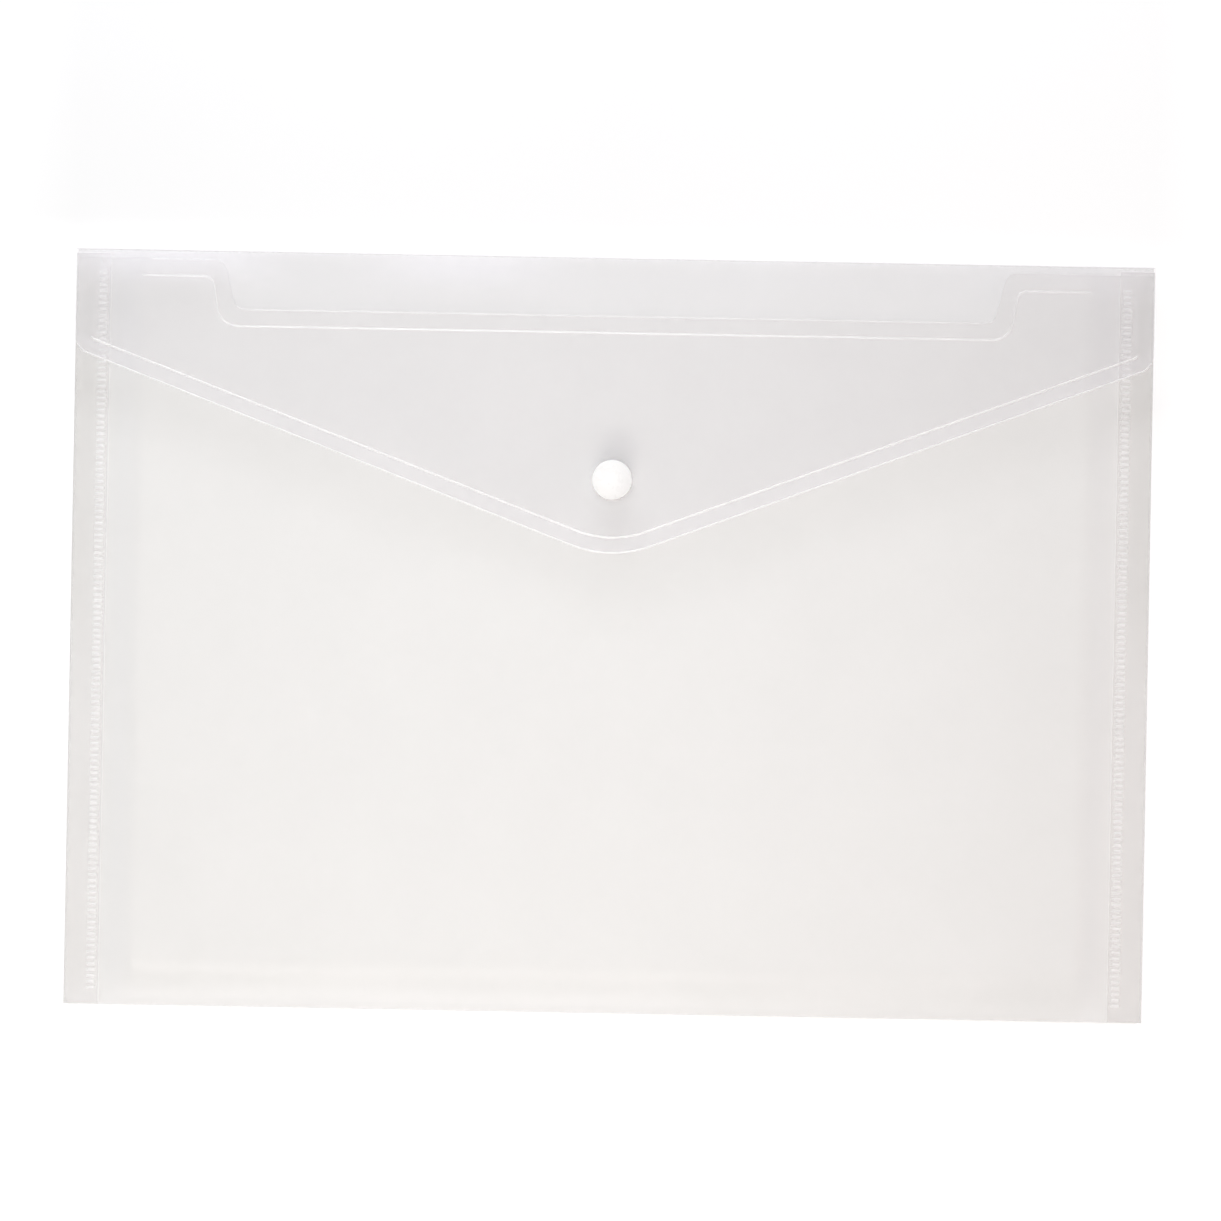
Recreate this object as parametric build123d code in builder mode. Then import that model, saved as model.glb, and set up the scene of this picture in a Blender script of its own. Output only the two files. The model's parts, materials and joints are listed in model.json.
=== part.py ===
from build123d import *
import os
from math import cos, radians, tan

# Document wallet: an envelope of frosted polypropylene sheet for A4 papers, shut by a press stud.
# The shut wallet lies on its back on the plane Z = 0. X runs along its width, Y towards the fold
# that carries the flap, and the origin is the middle of its back. Sizes are in millimetres.

# Sheet and overall size
sheet = 0.25
wallet_width = 335.0
wallet_height = 235.0
pocket_depth = 5.2
corner_radius = 2.0

# Side flanges, folded in from the back panel, and the welds that join the front panel to them
flange_width = 10.7
flange_end_gap = 1.0
weld_inset = 8.0
weld_width = 2.6
weld_top_gap = 7.0
weld_bottom_gap = 5.0
rung_pitch = 1.84
rung_width = 0.95
rung_height = 0.12

# Front panel, with its thumb notch
front_top_gap = 2.6
front_side_gap = 0.5
weld_to_rise = 0.2
side_rise = 9.0
bottom_rise = 13.0
rise_sections = 7
notch_width = 240.0
notch_depth = 15.3
notch_radius = 4.0
ear_radius = 3.5

# Embossed lines along the notch and round the flap
emboss_width = 0.8
emboss_height = 0.12
notch_emboss_inset = 5.5
notch_emboss_span = 294.0
flap_emboss_inset = 5.0
flap_emboss_top_gap = 10.0

# Flap and its two creases
flap_side_inset = 1.0
flap_side_length = 31.7
flap_slope = 20.6
flap_tip_radius = 35.0
flap_corner_radius = 6.0
crease_clearance = 0.05

# Press stud
stud_drop = 69.0
cap_diameter = 12.4
cap_height = 1.5
cap_rim = 0.7
back_cap_height = 0.9
back_cap_rim = 0.5
cap_edge_radius = 0.2
post_diameter = 3.4
post_clearance = 0.1
clinch_diameter = 4.4
clinch_height = 0.3
clinch_clearance = 0.3
snap_gap = 2.4
base_diameter = 10.6
stud_base = 0.5
socket_roof = 0.5
knob_diameter = 5.9
knob_radius = 0.3
snap_clearance = 0.25
knob_gap = 0.3
ring_gap = 0.2
ring_diameter = 9.0

# Levels and edges that follow from the sizes above
half_width = wallet_width / 2
top_edge = wallet_height / 2
bottom_edge = -wallet_height / 2
fold_radius = 1.5 * sheet
panel_bottom = bottom_edge + fold_radius
crease_y = top_edge - sheet / 2
back_top = crease_y - sheet / 2 - crease_clearance
back_half = half_width - sheet
flange_seat = sheet
front_seat = flange_seat + sheet
front_under = sheet + pocket_depth
front_face = front_under + sheet
full_rise = front_under - front_seat
flap_under = front_face + snap_gap
flap_face = flap_under + sheet
lower_crease_z = sheet / 2
upper_crease_z = flap_under + sheet / 2

# Plan of the front panel
front_half = half_width - front_side_gap
front_top = top_edge - front_top_gap
weld_x = half_width - weld_inset
weld_top = top_edge - weld_top_gap
weld_bottom = bottom_edge + weld_bottom_gap
weld_length = weld_top - weld_bottom
weld_middle = (weld_top + weld_bottom) / 2
rise_foot = weld_x - weld_width / 2 - weld_to_rise
rise_crest = rise_foot - side_rise
full_depth_y = panel_bottom + bottom_rise
notch_half = notch_width / 2
notch_bottom = front_top - notch_depth

# Press stud axis and the plane of its turned profiles
stud_y = top_edge - stud_drop
stud_plane = Plane(origin=(0, stud_y, 0), x_dir=(1, 0, 0), z_dir=(0, -1, 0))
stud_axis = Axis((0, stud_y, 0), (0, 0, 1))
cap_half = cap_diameter / 2
base_half = base_diameter / 2
post_half = post_diameter / 2
clinch_half = clinch_diameter / 2
hole_half = post_half + post_clearance
recess_half = clinch_half + clinch_clearance
knob_half = knob_diameter / 2
bore_half = knob_half + snap_clearance
ring_half = ring_diameter / 2
stud_face = front_face + stud_base
roof_under = flap_under - socket_roof
knob_top = roof_under - knob_gap
ring_bottom = stud_face + ring_gap

os.makedirs("parts", exist_ok=True)


def front_section(station, rise):
    """Section across the front panel at Y = station, where it has risen this far between the welds."""
    handle = side_rise / 3
    with BuildSketch(Plane.XZ.offset(-station)) as section:
        with BuildLine():
            for level in (front_seat, front_seat + sheet):
                for side in (-1, 1):
                    Line((side * front_half, level), (side * rise_foot, level))
                    Bezier(
                        (side * rise_foot, level),
                        (side * (rise_foot - handle), level),
                        (side * (rise_crest + handle), level + rise),
                        (side * rise_crest, level + rise),
                    )
                Line((-rise_crest, level + rise), (rise_crest, level + rise))
            for side in (-1, 1):
                Line((side * front_half, front_seat), (side * front_half, front_seat + sheet))
        make_face()
    return section.sketch


def eased(share):
    """Height reached after this share of a rise that starts and ends level."""
    return share * share * (3 - 2 * share)


# Back panel, flat on the table
with BuildPart() as back_panel:
    with BuildSketch():
        with BuildLine():
            FilletPolyline(
                (-back_half, panel_bottom),
                (back_half, panel_bottom),
                (back_half, back_top),
                (-back_half, back_top),
                radius=(0, 0, corner_radius, corner_radius),
                close=True,
            )
        make_face()
    extrude(amount=sheet)
back_panel.part.label = "back_panel"
export_step(back_panel.part, "parts/back_panel.step")

# Side flanges: strips turned in over the back panel, each with its half-round fold
flange_bottom = panel_bottom + flange_end_gap
flange_top = back_top - flange_end_gap
for side, name in ((-1, "left_flange"), (1, "right_flange")):
    flange_inner = side * (half_width - flange_width)
    fold_line = side * back_half
    with BuildPart() as flange:
        with BuildSketch(Plane.XZ.offset(-flange_bottom)):
            with BuildLine():
                Polyline((fold_line, 2 * sheet), (flange_inner, 2 * sheet), (flange_inner, flange_seat))
                Polyline((flange_inner, flange_seat), (fold_line, flange_seat), (fold_line, 0))
                ThreePointArc((fold_line, 0), (fold_line + side * sheet, sheet), (fold_line, 2 * sheet))
            make_face()
        extrude(amount=flange_top - flange_bottom, dir=(0, 1, 0))
    flange.part.label = name
    export_step(flange.part, f"parts/{name}.step")

# Bottom fold: the half-round turn between the back panel and the front panel
with BuildPart() as bottom_fold:
    with BuildSketch(Plane.YZ):
        with BuildLine():
            ThreePointArc(
                (panel_bottom, 0),
                (panel_bottom - fold_radius, fold_radius),
                (panel_bottom, 2 * fold_radius),
            )
            Line((panel_bottom, 2 * fold_radius), (panel_bottom, 2 * fold_radius - sheet))
            ThreePointArc(
                (panel_bottom, 2 * fold_radius - sheet),
                (panel_bottom - fold_radius + sheet, fold_radius),
                (panel_bottom, sheet),
            )
            Line((panel_bottom, sheet), (panel_bottom, 0))
        make_face()
    extrude(amount=front_half, both=True)
bottom_fold.part.label = "bottom_fold"
export_step(bottom_fold.part, "parts/bottom_fold.step")

# Front panel: flat at its welded margins and at the bottom fold, bellied between them
with BuildPart() as front_panel:
    shares = [step / (rise_sections - 1) for step in range(rise_sections)]
    loft([front_section(panel_bottom + bottom_rise * s, full_rise * eased(s)) for s in shares])
    extrude(front_section(full_depth_y, full_rise), amount=front_top - full_depth_y, dir=(0, 1, 0))
    half_radii = (corner_radius, ear_radius, notch_radius)
    with BuildSketch():
        with BuildLine():
            FilletPolyline(
                (-front_half, panel_bottom),
                (front_half, panel_bottom),
                (front_half, front_top),
                (notch_half, front_top),
                (notch_half, notch_bottom),
                (-notch_half, notch_bottom),
                (-notch_half, front_top),
                (-front_half, front_top),
                radius=(0, 0) + half_radii + half_radii[::-1],
                close=True,
            )
        make_face()
    extrude(amount=front_face + sheet, mode=Mode.INTERSECT)
    with BuildSketch(Plane.XY.offset(front_seat)):
        with GridLocations(2 * weld_x, 0, 2, 1):
            with Locations((0, weld_middle)):
                Rectangle(weld_width, weld_length)
    extrude(amount=sheet, mode=Mode.SUBTRACT)
    with BuildSketch(Plane.XY.offset(front_under)):
        with Locations((0, stud_y)):
            Circle(hole_half)
    extrude(amount=sheet, mode=Mode.SUBTRACT)
    emboss_side = notch_half + notch_emboss_inset
    emboss_top = front_top - notch_emboss_inset
    emboss_bottom = notch_bottom - notch_emboss_inset
    notch_bend = notch_radius + notch_emboss_inset
    with BuildSketch(Plane.XY.offset(front_face)):
        with BuildLine():
            FilletPolyline(
                (-notch_emboss_span / 2, emboss_top),
                (-emboss_side, emboss_top),
                (-emboss_side, emboss_bottom),
                (emboss_side, emboss_bottom),
                (emboss_side, emboss_top),
                (notch_emboss_span / 2, emboss_top),
                radius=(emboss_width, notch_bend, notch_bend, emboss_width),
            )
        trace(line_width=emboss_width)
    extrude(amount=emboss_height)
front_panel.part.label = "front_panel"
export_step(front_panel.part, "parts/front_panel.step")

# Side welds: the strips where front panel and flange are melted together, with raised rungs
rung_count = int(weld_length / rung_pitch)
for side, name in ((-1, "left_weld"), (1, "right_weld")):
    with BuildPart() as weld:
        with BuildSketch(Plane.XY.offset(front_seat)):
            with Locations((side * weld_x, weld_middle)):
                Rectangle(weld_width, weld_length)
        extrude(amount=sheet)
        with BuildSketch(Plane.XY.offset(front_seat + sheet)):
            with Locations((side * weld_x, weld_middle)):
                with GridLocations(0, rung_pitch, 1, rung_count):
                    Rectangle(weld_width, rung_width)
        extrude(amount=rung_height)
    weld.part.label = name
    export_step(weld.part, f"parts/{name}.step")

# Spine: the strip between the two creases, whose lower edge is the round of the lower crease
flap_half = half_width - flap_side_inset
with BuildPart() as spine:
    with BuildSketch(Plane.YZ):
        with BuildLine():
            spine_top = flap_under - crease_clearance
            inner, outer = crease_y - sheet / 2, crease_y + sheet / 2
            Polyline((inner, lower_crease_z), (inner, spine_top), (outer, spine_top), (outer, lower_crease_z))
            ThreePointArc((outer, lower_crease_z), (crease_y, 0), (inner, lower_crease_z))
        make_face()
    extrude(amount=flap_half, both=True)
spine.part.label = "spine"
export_step(spine.part, "parts/spine.step")

# Flap: a shallow V with an embossed border, whose root is the round of the upper crease
flap_corner_y = top_edge - flap_side_length
flap_point_y = flap_corner_y - flap_half * tan(radians(flap_slope))
with BuildPart() as flap:
    with BuildSketch(Plane.XY.offset(flap_under)):
        with BuildLine():
            FilletPolyline(
                (-flap_half, crease_y),
                (-flap_half, flap_corner_y),
                (0, flap_point_y),
                (flap_half, flap_corner_y),
                (flap_half, crease_y),
                radius=(0, flap_corner_radius, flap_tip_radius, flap_corner_radius, 0),
                close=True,
            )
        make_face()
        with Locations((0, stud_y)):
            Circle(hole_half, mode=Mode.SUBTRACT)
    extrude(amount=sheet)
    with BuildSketch(Plane.YZ):
        with Locations((crease_y, upper_crease_z)):
            Circle(sheet / 2)
    extrude(amount=flap_half, both=True)
    emboss_half = flap_half - flap_emboss_inset
    emboss_point_y = flap_point_y + flap_emboss_inset / cos(radians(flap_slope))
    emboss_corner_y = emboss_point_y + emboss_half * tan(radians(flap_slope))
    emboss_start_y = top_edge - flap_emboss_top_gap
    emboss_corner_radius = max(flap_corner_radius - flap_emboss_inset, emboss_width)
    with BuildSketch(Plane.XY.offset(flap_face)):
        with BuildLine():
            FilletPolyline(
                (-emboss_half, emboss_start_y),
                (-emboss_half, emboss_corner_y),
                (0, emboss_point_y),
                (emboss_half, emboss_corner_y),
                (emboss_half, emboss_start_y),
                radius=(emboss_corner_radius, flap_tip_radius - flap_emboss_inset, emboss_corner_radius),
            )
        trace(line_width=emboss_width)
    extrude(amount=emboss_height)
flap.part.label = "flap"
export_step(flap.part, "parts/flap.step")

# Press stud, flap side: domed cap whose post passes the flap and is clinched inside the socket
with BuildPart() as stud_cap:
    with BuildSketch(stud_plane) as cap_profile:
        with BuildLine():
            Polyline(
                (0, flap_face + cap_height),
                (0, roof_under - clinch_height),
                (clinch_half, roof_under - clinch_height),
                (clinch_half, roof_under),
                (post_half, roof_under),
                (post_half, flap_face),
                (cap_half, flap_face),
                (cap_half, flap_face + cap_rim),
            )
            TangentArc((0, flap_face + cap_height), (cap_half, flap_face + cap_rim), tangent=(1, 0))
        make_face()
        fillet(cap_profile.vertices().group_by(Axis.X)[-1], cap_edge_radius)
    revolve(axis=stud_axis)
stud_cap.part.label = "stud_cap"
export_step(stud_cap.part, "parts/stud_cap.step")

# Press stud, flap side: socket under the flap
with BuildPart() as stud_socket:
    with BuildSketch(stud_plane):
        with BuildLine():
            Polyline(
                (hole_half, flap_under),
                (base_half, flap_under),
                (base_half, roof_under),
                (ring_half, roof_under),
                (ring_half, ring_bottom),
                (bore_half, ring_bottom),
                (bore_half, roof_under),
                (hole_half, roof_under),
                close=True,
            )
        make_face()
    revolve(axis=stud_axis)
stud_socket.part.label = "stud_socket"
export_step(stud_socket.part, "parts/stud_socket.step")

# Press stud, front side: hollow knob on a round base
with BuildPart() as stud_knob:
    with BuildSketch(stud_plane) as knob_profile:
        with BuildLine():
            Polyline(
                (hole_half, front_face),
                (base_half, front_face),
                (base_half, stud_face),
                (knob_half, stud_face),
                (knob_half, knob_top),
                (recess_half, knob_top),
                (recess_half, stud_face),
                (hole_half, stud_face),
                close=True,
            )
        make_face()
        fillet(knob_profile.vertices().group_by(Axis.Y)[-1].sort_by(Axis.X)[-1], knob_radius)
    revolve(axis=stud_axis)
stud_knob.part.label = "stud_knob"
export_step(stud_knob.part, "parts/stud_knob.step")

# Press stud, front side: back cap inside the pocket, whose post is clinched inside the knob
with BuildPart() as stud_back_cap:
    with BuildSketch(stud_plane) as back_cap_profile:
        with BuildLine():
            Polyline(
                (0, front_under - back_cap_height),
                (0, stud_face + clinch_height),
                (clinch_half, stud_face + clinch_height),
                (clinch_half, stud_face),
                (post_half, stud_face),
                (post_half, front_under),
                (cap_half, front_under),
                (cap_half, front_under - back_cap_rim),
            )
            TangentArc(
                (0, front_under - back_cap_height),
                (cap_half, front_under - back_cap_rim),
                tangent=(1, 0),
            )
        make_face()
        fillet(back_cap_profile.vertices().group_by(Axis.X)[-1], cap_edge_radius)
    revolve(axis=stud_axis)
stud_back_cap.part.label = "stud_back_cap"
export_step(stud_back_cap.part, "parts/stud_back_cap.step")
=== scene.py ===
import json
import math
import bpy
import numpy as np
from bpy.props import FloatProperty, FloatVectorProperty, IntProperty, PointerProperty
from bpy.types import Operator, Panel, PropertyGroup
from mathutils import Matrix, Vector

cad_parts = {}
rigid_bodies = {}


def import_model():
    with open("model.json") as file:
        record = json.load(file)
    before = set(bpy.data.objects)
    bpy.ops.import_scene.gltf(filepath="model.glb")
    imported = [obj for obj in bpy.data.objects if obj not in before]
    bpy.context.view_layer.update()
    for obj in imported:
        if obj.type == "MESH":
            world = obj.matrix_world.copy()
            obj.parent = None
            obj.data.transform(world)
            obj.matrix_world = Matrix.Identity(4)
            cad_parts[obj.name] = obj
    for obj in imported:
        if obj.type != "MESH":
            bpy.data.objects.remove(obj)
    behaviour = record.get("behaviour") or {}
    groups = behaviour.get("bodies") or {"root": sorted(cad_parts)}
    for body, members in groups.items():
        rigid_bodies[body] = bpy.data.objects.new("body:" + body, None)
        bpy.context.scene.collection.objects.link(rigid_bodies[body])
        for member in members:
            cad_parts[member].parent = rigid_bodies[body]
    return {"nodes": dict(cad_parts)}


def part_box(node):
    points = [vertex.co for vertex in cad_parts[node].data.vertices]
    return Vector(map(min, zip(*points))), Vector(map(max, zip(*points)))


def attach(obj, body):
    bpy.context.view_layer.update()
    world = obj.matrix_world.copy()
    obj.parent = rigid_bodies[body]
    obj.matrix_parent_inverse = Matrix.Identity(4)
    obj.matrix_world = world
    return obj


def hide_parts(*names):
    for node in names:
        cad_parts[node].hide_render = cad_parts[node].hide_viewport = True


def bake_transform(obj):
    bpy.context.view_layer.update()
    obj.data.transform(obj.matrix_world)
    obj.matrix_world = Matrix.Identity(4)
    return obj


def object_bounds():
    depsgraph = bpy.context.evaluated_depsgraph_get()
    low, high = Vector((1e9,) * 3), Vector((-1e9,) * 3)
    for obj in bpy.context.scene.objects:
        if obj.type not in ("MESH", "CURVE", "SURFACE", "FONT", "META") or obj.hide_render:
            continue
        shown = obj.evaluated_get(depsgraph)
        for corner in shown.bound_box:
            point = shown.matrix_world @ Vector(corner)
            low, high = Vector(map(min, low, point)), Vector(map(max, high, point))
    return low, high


bl_info = {
    "name": "Document Wallet",
    "version": (1, 0, 0),
    "blender": (4, 5, 0),
    "location": "View3D > Sidebar > Wallet",
    "description": "Envelope wallet of frosted sheet, with a creased flap and a press stud",
    "category": "Object",
}

for leftover in list(bpy.data.objects):
    bpy.data.objects.remove(leftover)

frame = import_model()
cad_low, cad_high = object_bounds()
mm = 0.001

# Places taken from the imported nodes, in metres
back_low, back_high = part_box("back_panel")
front_low, front_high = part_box("front_panel")
flange_low, flange_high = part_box("right_flange")
fold_low, fold_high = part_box("bottom_fold")
weld_low, weld_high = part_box("right_weld")
spine_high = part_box("spine")[1]
flap_low, flap_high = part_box("flap")
cap_low, cap_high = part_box("stud_cap")
knob_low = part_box("stud_knob")[0]
GAUGE = back_high.z - back_low.z
STUD_Y = (cap_low.y + cap_high.y) / 2
FLAP_SPARE = 0.7 * mm
FLAP_HALF = flap_high.x + FLAP_SPARE
WELD_SPARE = 0.6 * mm
WELD_IN = weld_low.x - WELD_SPARE
WELD_OUT = weld_high.x

# Small sizes of the sheets: the stud's hole, the two creases, and the beads of edges and lines
STUD_HOLE = 2.2 * mm
STUD_COLUMNS = np.linspace(-STUD_HOLE, STUD_HOLE, 5)
LOWER_BEND = 0.45 * mm
UPPER_BEND = 0.9 * mm
RIM_RISE = 0.18 * mm
LINE_SPARE = 0.03 * mm
LINE_STEP = 1.5 * mm
OUTLINE_STEP = 3.5 * mm

# Upper side of a bead's section, as shares of its width and of its rise
BEAD_TOP = ((0.5, 0.25), (0.28, 0.85), (0.0, 1.0), (-0.28, 0.85), (-0.5, 0.25))

# A line keeps at least this share of its width, and has all of it when its slope has eased by this
NARROWEST = 0.5
NARROWING = 0.6

# Edges that turn by more than this are shaded sharp
SHARP_ANGLE = math.radians(50)

# Slow waves of the loose sheets, and how far around the stud each sheet is held flat and eased; the
# front sinks by a share of the waves' height, and the flap swings by one
WAVE_COUNT = 5
SHORTEST_WAVE = 70 * mm
LONGEST_WAVE = 190 * mm
WAVE_PEAK = 3.0
FRONT_SEED = 11
FRONT_SINK = 0.5
FRONT_HELD = 8 * mm
FRONT_EASE = 40 * mm
FLAP_SEED = 5
FLAP_SWING = 0.8
FLAP_HELD = 6.5 * mm
FLAP_EASE = 16 * mm

# Where the flap dips along the top fold: place along it and reach, both in millimetres
FOLD_DIPS = ((-136, 27), (-43, 20), (44, 12), (104, 17))
LEAST_DIP = 0.25

# Painted highlight along the top fold: place along it and reach in millimetres, and strength
FOLD_HIGHLIGHTS = ((-139, 33, 1.0), (-49, 28, 0.75), (49, 26, 0.15), (118, 24, 0.15), (152, 20, 0.4))

# Where the painted highlight starts to rise and to fade, and the length of both, as shares of the fold's
# reach
RISE_START = 0.02
RISE_LENGTH = 0.1
FADE_START = 0.15
FADE_LENGTH = 1.05

# Optics of the two plastics
SHEET_IOR = 1.49
STUD_IOR = 1.5
PLAIN_SHEEN = 0.5

# Place and size of each lamp in metres, its tint, and the pieces besides the cap that block its light
LAMPS = {
    "top": ((-0.08, 0.62, 0.32), (0.4, 0.22), (0.93, 0.96, 1.0), ("flap_sheet",)),
    "bottom": ((-0.09, -0.52, 0.52), (0.4, 0.22), (1.0, 0.96, 0.92), ()),
    "upper": ((-0.05, -0.02, 0.6), (0.4, 0.4), (1.0, 1.0, 1.0), ()),
    "right": ((0.5, -0.12, 0.4), (0.2, 0.3), (1.0, 0.62, 0.56), ()),
}

# The floor, and its glow: under the wallet, beyond the middle and the right end of its top fold,
# and what is added far off, beyond the room that the open flap takes
FLOOR_REACH = 3.0
FLOOR_LEVEL = -0.05 * mm
FLOOR_GREY = 0.48
GLOW_UNDER = 0.61
GLOW_TOP_MIDDLE = 0.52
GLOW_TOP_RIGHT = 0.58
GLOW_EASE = 10 * mm
GLOW_FAR = 0.5
FLAP_ROOM = 95 * mm
FAR_REACH = 200 * mm

# The camera's sensor in millimetres, its aim, and how far it sees in metres
SENSOR_WIDTH = 36.0
AIM_X = 0.25 * mm
AIM_Y = 8.05 * mm
FARTHEST_SEEN = 50.0


class WalletSizes(PropertyGroup):
    """Sizes of the folded sheet and of what is pressed into it"""

    gauge: FloatProperty(
        name="Sheet Gauge", description="Thickness of the plastic sheet",
        default=GAUGE, min=0.05 * mm, unit="LENGTH")
    side_rise: FloatProperty(
        name="Side Rise", description="Width of the slope beside each weld",
        default=12 * mm, unit="LENGTH")
    bottom_rise: FloatProperty(
        name="Bottom Rise", description="Width of the slope above the bottom fold",
        default=16 * mm, unit="LENGTH")
    line_width: FloatProperty(
        name="Line Width", description="Width of an embossed line",
        default=0.6 * mm, unit="LENGTH")
    line_rise: FloatProperty(
        name="Line Rise", description="Height of an embossed line above the sheet",
        default=0.12 * mm, unit="LENGTH")
    edge_width: FloatProperty(
        name="Edge Width", description="Width of the whitened band along a cut edge",
        default=0.55 * mm, unit="LENGTH")
    notch_width: FloatProperty(
        name="Notch Width", description="Width of the thumb notch",
        default=239 * mm, unit="LENGTH")
    notch_depth: FloatProperty(
        name="Notch Depth", description="Depth of the thumb notch",
        default=15.3 * mm, unit="LENGTH")
    notch_lean: FloatProperty(
        name="Notch Lean", description="How far each side of the notch leans outwards",
        default=4 * mm, unit="LENGTH")
    flap_slope: FloatProperty(
        name="Flap Slope", description="Slope of the flap's two long edges",
        default=math.radians(20.6), unit="ROTATION")
    flap_side: FloatProperty(
        name="Flap Side", description="Length of the flap's short side edges",
        default=31.7 * mm, unit="LENGTH")
    fold_dip: FloatProperty(
        name="Fold Dip", description="How far the flap dips towards its crease",
        default=1.1 * mm, unit="LENGTH")
    fold_reach: FloatProperty(
        name="Fold Reach", description="How far from the crease the dip reaches",
        default=12 * mm, unit="LENGTH")
    wave_height: FloatProperty(
        name="Wave Height", description="Height of the slow waves in the loose sheets",
        default=0.3 * mm, unit="LENGTH")
    rung_count: IntProperty(
        name="Rungs", description="Number of rungs in each weld", default=121, min=2)
    rung_width: FloatProperty(
        name="Rung Width", description="Width of one weld rung along the weld",
        default=0.95 * mm, unit="LENGTH")


class WalletFinish(PropertyGroup):
    """Colours and gloss of the sheet and the stud"""

    front_colour: FloatVectorProperty(
        name="Front Colour", description="Colour of the frosted front panel", subtype="COLOR",
        size=4, min=0, max=1, default=(0.84, 0.82, 0.79, 1.0))
    flap_colour: FloatVectorProperty(
        name="Flap Colour", description="Colour of the frosted flap", subtype="COLOR",
        size=4, min=0, max=1, default=(0.795, 0.78, 0.815, 1.0))
    # Painted shade: the back panel and the flanges are the same sheet as the front, given a darker colour
    # because they lie under the other sheets
    shaded_inner_colour: FloatVectorProperty(
        name="Inner Colour", description="Colour of the back panel and the flanges", subtype="COLOR",
        size=4, min=0, max=1, default=(0.40, 0.39, 0.375, 1.0))
    sheet_cover: FloatProperty(
        name="Sheet Cover", description="How much each face of the sheet hides", subtype="FACTOR",
        min=0, max=1, default=0.13)
    back_cover: FloatProperty(
        name="Back Cover", description="How much each face of the back panel hides", subtype="FACTOR",
        min=0, max=1, default=0.235)
    double_cover: FloatProperty(
        name="Double Cover", description="How much each face of a doubled sheet hides", subtype="FACTOR",
        min=0, max=1, default=0.37)
    # Painted light: the bluish colour that the painted highlights and painted light on the back, the
    # flanges and the flap mix towards
    painted_light_colour: FloatVectorProperty(
        name="Haze Colour", description="Colour of the sheet where folding whitened it", subtype="COLOR",
        size=4, min=0, max=1, default=(0.96, 0.945, 1.0, 1.0))
    # Painted light: the colour of the painted highlight along the front's bottom fold, and of the painted
    # light that lifts its shaded slopes beside the welds
    front_painted_light_colour: FloatVectorProperty(
        name="Slope Colour", description="Colour of the front panel where it bends", subtype="COLOR",
        size=4, min=0, max=1, default=(0.99, 0.975, 0.98, 1.0))
    # Painted highlight: the flap also hides more where light is painted on it, so its painted highlights
    # show stronger
    painted_light_cover: FloatProperty(
        name="Haze Cover", description="How much more the flap hides where folding whitened it",
        subtype="FACTOR", min=0, max=1, default=0.11)
    sheet_roughness: FloatProperty(
        name="Sheet Roughness", description="Roughness of the frosted face", subtype="FACTOR",
        min=0, max=1, default=0.36)
    # Partly painted highlight: the white of the cut edges and embossed lines stands partly for the
    # highlights their beads catch; the weld rungs share this colour
    whitening_and_highlight_colour: FloatVectorProperty(
        name="Edge Colour", description="Colour of whitened edges and lines", subtype="COLOR",
        size=4, min=0, max=1, default=(0.97, 0.97, 0.97, 1.0))
    edge_cover: FloatProperty(
        name="Edge Cover", description="How much a whitened edge hides", subtype="FACTOR",
        min=0, max=1, default=0.48)
    rung_cover: FloatProperty(
        name="Rung Cover", description="How much a weld rung hides", subtype="FACTOR",
        min=0, max=1, default=0.26)
    stud_colour: FloatVectorProperty(
        name="Stud Colour", description="Colour of the moulded stud", subtype="COLOR",
        size=4, min=0, max=1, default=(0.99, 0.99, 0.98, 1.0))
    stud_roughness: FloatProperty(
        name="Stud Roughness", description="Roughness of the moulded stud", subtype="FACTOR",
        min=0, max=1, default=0.28)


class WalletStage(PropertyGroup):
    """Light, floor and camera around the wallet"""

    lens: FloatProperty(
        name="Lens", description="Focal length of the camera in millimetres", default=250, min=20)
    frame_width: FloatProperty(
        name="Frame Width", description="Width of the floor that fills the picture",
        default=379.5 * mm, unit="LENGTH")
    roll: FloatProperty(
        name="Roll", description="Turn of the camera about its view axis",
        default=math.radians(1.066), unit="ROTATION")
    top_power: FloatProperty(
        name="Top Lamp", description="Power of the cool lamp beyond the flap's fold",
        default=3.1, unit="POWER")
    bottom_power: FloatProperty(
        name="Bottom Lamp", description="Power of the warm lamp below the bottom fold",
        default=2.75, unit="POWER")
    upper_power: FloatProperty(
        name="Upper Lamp", description="Power of the fill lamp above the wallet",
        default=1.19, unit="POWER")
    right_power: FloatProperty(
        name="Right Lamp", description="Power of the warm lamp at the right",
        default=0.35, unit="POWER")
    ambient: FloatProperty(
        name="Ambient", description="Strength of the even light from all around",
        default=0.03, min=0)


# Small tools for shapes

def smooth_step(value):
    held = np.clip(value, 0.0, 1.0)
    return held * held * (3.0 - 2.0 * held)


def rounded_path(corners, radii, steps):
    """Points along straight lines through the corners, each inner corner rounded by its radius."""
    points = [np.array(corners[0], float)]
    for index in range(1, len(corners) - 1):
        corner = np.array(corners[index], float)
        back = np.array(corners[index - 1], float) - corner
        ahead = np.array(corners[index + 1], float) - corner
        back /= np.linalg.norm(back)
        ahead /= np.linalg.norm(ahead)
        half = math.acos(float(np.clip(back @ ahead, -1, 1))) / 2
        radius = radii[index - 1]
        middle = corner + (back + ahead) / np.linalg.norm(back + ahead) * radius / math.sin(half)
        first = corner + back * radius / math.tan(half) - middle
        last = corner + ahead * radius / math.tan(half) - middle
        sweep = math.pi - 2 * half
        for step in range(steps + 1):
            share = step / steps
            first_part = math.sin((1 - share) * sweep) / math.sin(sweep)
            last_part = math.sin(share * sweep) / math.sin(sweep)
            points.append(middle + first * first_part + last * last_part)
    points.append(np.array(corners[-1], float))
    return np.array(points)


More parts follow.
